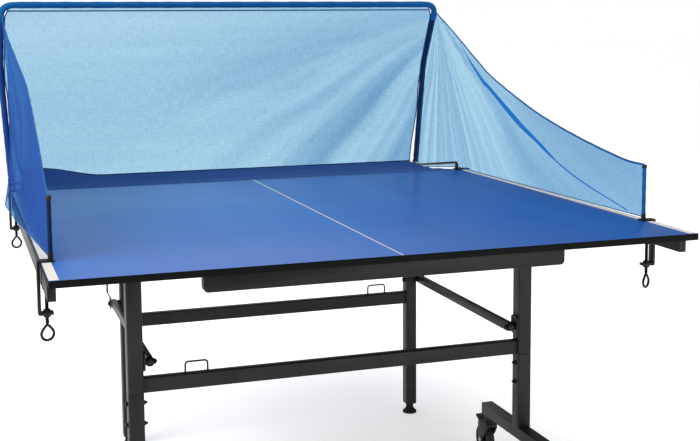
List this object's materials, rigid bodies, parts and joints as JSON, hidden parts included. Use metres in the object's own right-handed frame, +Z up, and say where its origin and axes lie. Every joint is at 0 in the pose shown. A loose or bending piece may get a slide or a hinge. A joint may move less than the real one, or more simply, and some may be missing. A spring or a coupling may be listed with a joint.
{
  "type": "ping pong table",
  "caption": "Self-standing half of a rollaway ping pong table: folding top on a braked caster trolley and swing-in legs, with a clamp-on ball-catch net round its far end.",
  "frame": {"origin": "centre of the bounding box's base, on the floor", "axes": "+Z up, +Y from the net-line edge towards the end line, +X to the right for somebody at the net-line edge looking towards the end line"},
  "size_m": [1.5452, 1.7775, 1.341],
  "materials": {
    "playing_surface": "satin blue roller coat on a wood-fibre board with black edges and white lines",
    "frame": "dark grey powder coat on steel tube",
    "hardware": "black oxide and black paint",
    "net_frame": "black powder coat",
    "zinc_steel": "bright zinc plating",
    "rubber_foot": "moulded, matt",
    "caster_plastic": "moulded, fine grain",
    "caster_tread": "smooth tread",
    "net_mesh": "sheer knitted mesh",
    "net_tape": "woven polyester tape and sleeve"
  },
  "bodies": {
    "trolley": {"trolley_bar": "frame", "trolley_handle": "hardware", "post_upper_left": "frame", "foot_beam_left": "frame", "strut_bracket_left": "hardware", "post_upper_right": "frame", "foot_beam_right": "frame", "strut_bracket_right": "hardware"},
    "tabletop": {"board": "playing_surface", "side_rail_left": "frame", "side_rail_right": "frame", "end_rail": "frame", "front_cross_rail": "frame", "net_top_tube": "net_frame", "net_back_panel": "net_mesh", "net_floor_panel": "net_tape", "post_hinge_left": "frame", "leg_hinge_left": "frame", "net_arm_left": "net_frame", "net_upright_lower_left": "net_frame", "net_upright_upper_left": "net_frame", "net_pole_left": "net_frame", "net_wing_left": "net_mesh", "post_hinge_right": "frame", "leg_hinge_right": "frame", "net_arm_right": "net_frame", "net_upright_lower_right": "net_frame", "net_upright_upper_right": "net_frame", "net_pole_right": "net_frame", "net_wing_right": "net_mesh", "net_clamp_front_left": "net_frame", "net_clamp_back_left": "net_frame", "net_clamp_front_right": "net_frame", "net_clamp_back_right": "net_frame"},
    "legs": {"leg_bar": "frame", "leg_handle": "hardware", "rear_leg_left": "frame", "leg_strap_left": "hardware", "rear_leg_right": "frame", "leg_strap_right": "hardware"},
    "strut_left": {"strut_left": "frame"},
    "levelling_foot_left": {"levelling_foot_left": "rubber_foot"},
    "caster_front_left": {"caster_fork_front_left": "caster_plastic"},
    "wheel_front_left": {"caster_wheel_front_left": "caster_tread"},
    "pedal_front_left": {"caster_pedal_front_left": "caster_plastic"},
    "clamp_screw_front_left": {"clamp_screw_front_left": "zinc_steel"},
    "caster_back_left": {"caster_fork_back_left": "caster_plastic"},
    "wheel_back_left": {"caster_wheel_back_left": "caster_tread"},
    "pedal_back_left": {"caster_pedal_back_left": "caster_plastic"},
    "clamp_screw_back_left": {"clamp_screw_back_left": "zinc_steel"},
    "strut_right": {"strut_right": "frame"},
    "levelling_foot_right": {"levelling_foot_right": "rubber_foot"},
    "caster_front_right": {"caster_fork_front_right": "caster_plastic"},
    "wheel_front_right": {"caster_wheel_front_right": "caster_tread"},
    "pedal_front_right": {"caster_pedal_front_right": "caster_plastic"},
    "clamp_screw_front_right": {"clamp_screw_front_right": "zinc_steel"},
    "caster_back_right": {"caster_fork_back_right": "caster_plastic"},
    "wheel_back_right": {"caster_wheel_back_right": "caster_tread"},
    "pedal_back_right": {"caster_pedal_back_right": "caster_plastic"},
    "clamp_screw_back_right": {"clamp_screw_back_right": "zinc_steel"}
  },
  "joints": [
    {"name": "top_fold", "type": "hinge", "parent": "trolley", "child": "tabletop", "pos_m": [0, -0.4268, 0.718], "axis": [1, 0, 0], "range_deg": [0, 90]},
    {"name": "leg_fold", "type": "hinge", "parent": "tabletop", "child": "legs", "pos_m": [0, 0.2232, 0.718], "axis": [-1, 0, 0], "range_deg": [0, 90]},
    {"name": "strut_swing_left", "type": "hinge", "parent": "trolley", "child": "strut_left", "pos_m": [-0.491, -0.4268, 0.442], "axis": [1, 0, 0], "range_deg": [0, 90]},
    {"name": "foot_level_left", "type": "slide", "parent": "legs", "child": "levelling_foot_left", "axis": [0, 0, -1], "range_m": [0, 0.012]},
    {"name": "caster_swivel_front_left", "type": "hinge", "parent": "trolley", "child": "caster_front_left", "pos_m": [-0.529, -0.6268, 0.115], "axis": [0, 0, 1], "continuous": true},
    {"name": "wheel_spin_front_left", "type": "hinge", "parent": "caster_front_left", "child": "wheel_front_left", "pos_m": [-0.529, -0.5988, 0.044], "axis": [1, 0, 0], "continuous": true},
    {"name": "brake_press_front_left", "type": "hinge", "parent": "caster_front_left", "child": "pedal_front_left", "pos_m": [-0.529, -0.5878, 0.098], "axis": [-1, 0, 0], "range_deg": [0, 14]},
    {"name": "screw_travel_front_left", "type": "slide", "parent": "tabletop", "child": "clamp_screw_front_left", "axis": [0, 0, -1], "range_m": [0, 0.015]},
    {"name": "caster_swivel_back_left", "type": "hinge", "parent": "trolley", "child": "caster_back_left", "pos_m": [-0.529, -0.2268, 0.115], "axis": [0, 0, 1], "continuous": true},
    {"name": "wheel_spin_back_left", "type": "hinge", "parent": "caster_back_left", "child": "wheel_back_left", "pos_m": [-0.529, -0.1988, 0.044], "axis": [1, 0, 0], "continuous": true},
    {"name": "brake_press_back_left", "type": "hinge", "parent": "caster_back_left", "child": "pedal_back_left", "pos_m": [-0.529, -0.1878, 0.098], "axis": [-1, 0, 0], "range_deg": [0, 14]},
    {"name": "screw_travel_back_left", "type": "slide", "parent": "tabletop", "child": "clamp_screw_back_left", "axis": [0, 0, -1], "range_m": [0, 0.015]},
    {"name": "strut_swing_right", "type": "hinge", "parent": "trolley", "child": "strut_right", "pos_m": [0.491, -0.4268, 0.442], "axis": [1, 0, 0], "range_deg": [0, 90]},
    {"name": "foot_level_right", "type": "slide", "parent": "legs", "child": "levelling_foot_right", "axis": [0, 0, -1], "range_m": [0, 0.012]},
    {"name": "caster_swivel_front_right", "type": "hinge", "parent": "trolley", "child": "caster_front_right", "pos_m": [0.529, -0.6268, 0.115], "axis": [0, 0, 1], "continuous": true},
    {"name": "wheel_spin_front_right", "type": "hinge", "parent": "caster_front_right", "child": "wheel_front_right", "pos_m": [0.529, -0.5988, 0.044], "axis": [1, 0, 0], "continuous": true},
    {"name": "brake_press_front_right", "type": "hinge", "parent": "caster_front_right", "child": "pedal_front_right", "pos_m": [0.529, -0.5878, 0.098], "axis": [-1, 0, 0], "range_deg": [0, 14]},
    {"name": "screw_travel_front_right", "type": "slide", "parent": "tabletop", "child": "clamp_screw_front_right", "axis": [0, 0, -1], "range_m": [0, 0.015]},
    {"name": "caster_swivel_back_right", "type": "hinge", "parent": "trolley", "child": "caster_back_right", "pos_m": [0.529, -0.2268, 0.115], "axis": [0, 0, 1], "continuous": true},
    {"name": "wheel_spin_back_right", "type": "hinge", "parent": "caster_back_right", "child": "wheel_back_right", "pos_m": [0.529, -0.1988, 0.044], "axis": [1, 0, 0], "continuous": true},
    {"name": "brake_press_back_right", "type": "hinge", "parent": "caster_back_right", "child": "pedal_back_right", "pos_m": [0.529, -0.1878, 0.098], "axis": [-1, 0, 0], "range_deg": [0, 14]},
    {"name": "screw_travel_back_right", "type": "slide", "parent": "tabletop", "child": "clamp_screw_back_right", "axis": [0, 0, -1], "range_m": [0, 0.015]}
  ],
  "couplings": [
    {"joint": "leg_fold", "follows": "top_fold", "ratio": 1},
    {"joint": "strut_swing_left", "follows": "top_fold", "ratio": 1},
    {"joint": "strut_swing_right", "follows": "top_fold", "ratio": 1}
  ]
}
